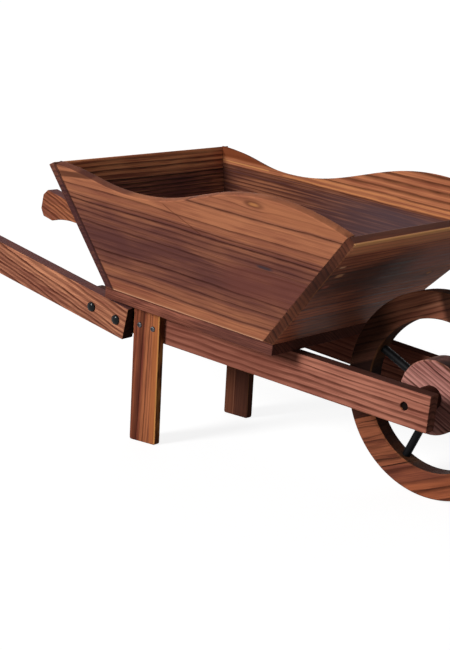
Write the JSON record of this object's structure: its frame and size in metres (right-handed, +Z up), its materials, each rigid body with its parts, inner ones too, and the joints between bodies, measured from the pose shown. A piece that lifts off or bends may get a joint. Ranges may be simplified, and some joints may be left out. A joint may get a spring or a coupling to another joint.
{
  "type": "wheelbarrow planter",
  "caption": "Wooden garden planter built like a small wheelbarrow: a flared trough with wavy sides on rails, with plank handles, flat legs and a spoked wooden wheel that turns.",
  "frame": {"origin": "on the floor, under the middle of the overall length and width", "axes": "+X forwards to the wheel, +Y to the left, +Z up"},
  "size_m": [0.9386, 0.3502, 0.3625],
  "materials": {
    "scorched_fir": "scorched and brushed, matt",
    "black_metal": "satin black",
    "zinc_steel": "dull grey"
  },
  "bodies": {
    "frame": {"base_plank": "scorched_fir", "side_board_right": "scorched_fir", "side_board_left": "scorched_fir", "rear_board": "scorched_fir", "front_board": "scorched_fir", "rail_right": "scorched_fir", "rail_left": "scorched_fir", "handle_right": "scorched_fir", "handle_left": "scorched_fir", "leg_right": "scorched_fir", "leg_left": "scorched_fir", "axle_spacer_right": "scorched_fir", "axle_spacer_left": "scorched_fir", "handle_bolts": "black_metal", "handle_bolt_nuts": "black_metal", "axle": "black_metal", "leg_screws": "zinc_steel", "brads": "zinc_steel"},
    "wheel": {"wheel_hub": "scorched_fir", "spoke_1": "black_metal", "spoke_2": "black_metal", "spoke_3": "black_metal", "spoke_4": "black_metal", "rim_top": "scorched_fir", "rim_upper_rear": "scorched_fir", "rim_upper_front": "scorched_fir", "rim_lower_rear": "scorched_fir", "rim_lower_front": "scorched_fir", "rim_bottom": "scorched_fir"}
  },
  "joints": [
    {"name": "wheel_spin", "type": "hinge", "parent": "frame", "child": "wheel", "pos_m": [0.34427, 0, 0.125], "axis": [0, 1, 0], "continuous": true}
  ]
}
